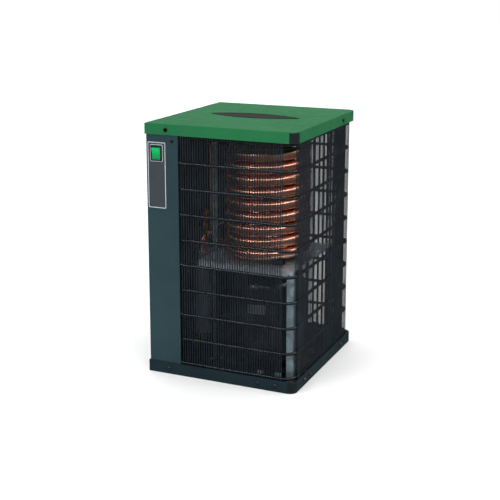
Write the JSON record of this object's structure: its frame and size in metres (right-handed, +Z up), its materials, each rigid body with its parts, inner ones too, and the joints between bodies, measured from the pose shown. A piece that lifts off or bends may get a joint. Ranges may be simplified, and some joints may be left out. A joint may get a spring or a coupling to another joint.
{
  "type": "refrigerated air dryer",
  "caption": "Free-standing cabinet that chills compressed air in a copper coil and drains the water, cased in a wire-on-tube condenser.",
  "frame": {"origin": "centre of the base's underside, on the floor", "axes": "+X to the right of the control side, +Y to the back, +Z up"},
  "size_m": [0.3208, 0.3618, 0.509],
  "materials": {
    "green_paint": "semi-gloss baked enamel",
    "slate_paint": "fine-textured satin powder coat",
    "condenser_black": "gloss black enamel",
    "compressor_black": "gloss black enamel",
    "galvanised": "galvanised sheet",
    "zinc_screw": "dark zinc plated",
    "black_plastic": "moulded",
    "badge_black": "plain black",
    "label_film": "printed film with a pale border",
    "rocker_green": "translucent green, lit",
    "copper": "drawn copper tube",
    "brass": "machined brass",
    "aluminium": "die cast",
    "bowl_coat": "dark blue-grey coat",
    "rubber": "moulded",
    "float_plastic": "moulded",
    "cast_iron": "machined casting",
    "lamination": "laminated steel"
  },
  "bodies": {
    "cabinet": {"air_inlet_fitting": "brass", "air_inlet_pipe": "copper", "air_outlet_fitting": "brass", "air_outlet_pipe": "copper", "air_transfer_pipe": "copper", "base_pan": "slate_paint", "base_screws": "zinc_screw", "bypass_lines": "copper", "bypass_valve": "brass", "capillary_tube": "copper", "coil_supports": "rubber", "compressor_bolts": "zinc_screw", "compressor_feet": "compressor_black", "compressor_grommets": "rubber", "compressor_lower_shell": "compressor_black", "compressor_upper_shell": "compressor_black", "condenser_clips": "galvanised", "condenser_tube": "condenser_black", "condenser_wires": "condenser_black", "control_panel": "slate_paint", "corner_guards": "black_plastic", "crankcase": "cast_iron", "discharge_line": "copper", "drain_fitting": "brass", "drain_tube": "black_plastic", "drain_valve_body": "brass", "evaporator_tube": "copper", "exchanger_coil": "copper", "exchanger_tees": "copper", "filter_drier": "copper", "fitting_locknuts": "brass", "frame_screws": "zinc_screw", "label_plate": "label_film", "lid": "green_paint", "lid_badge": "badge_black", "lid_screws": "zinc_screw", "liquid_line": "copper", "motor_stator": "lamination", "panel_screws": "zinc_screw", "power_gland": "black_plastic", "power_switch_body": "black_plastic", "rear_panel": "slate_paint", "separator_bowl": "bowl_coat", "separator_bracket": "galvanised", "separator_head": "aluminium", "shelf": "galvanised", "shelf_legs": "galvanised", "side_panel": "slate_paint", "suction_line": "copper", "terminal_cover": "black_plastic", "upright_post": "galvanised", "wiring_harness": "black_plastic"},
    "rocker": {"power_rocker": "rocker_green"},
    "float": {"drain_float": "float_plastic"},
    "knob": {"drain_knob": "black_plastic"},
    "crank": {"motor_rotor": "lamination", "crankshaft": "cast_iron"},
    "piston": {"piston": "cast_iron", "connecting_rod": "aluminium"},
    "adjuster": {"bypass_adjuster": "brass"}
  },
  "joints": [
    {"name": "rocker_tilt", "type": "hinge", "parent": "cabinet", "child": "rocker", "pos_m": [-0.1333, -0.1629, 0.45], "axis": [1, 0, 0], "range_deg": [-18, 0]},
    {"name": "float_lift", "type": "slide", "parent": "cabinet", "child": "float", "axis": [0, 0, 1], "range_m": [0, 0.008]},
    {"name": "knob_turn", "type": "hinge", "parent": "cabinet", "child": "knob", "pos_m": [-0.08, -0.079, 0.035], "axis": [0, 0, 1], "range_deg": [0, 270]},
    {"name": "crank_spin", "type": "hinge", "parent": "cabinet", "child": "crank", "pos_m": [0.047, -0.039, 0.067], "axis": [0, 0, 1], "continuous": true},
    {"name": "piston_slide", "type": "slide", "parent": "cabinet", "child": "piston", "axis": [1, 0, 0], "range_m": [-0.016, 0]},
    {"name": "adjuster_turn", "type": "hinge", "parent": "cabinet", "child": "adjuster", "pos_m": [-0.112, -0.002, 0.29], "axis": [0, 0, 1], "range_deg": [-180, 180]}
  ]
}
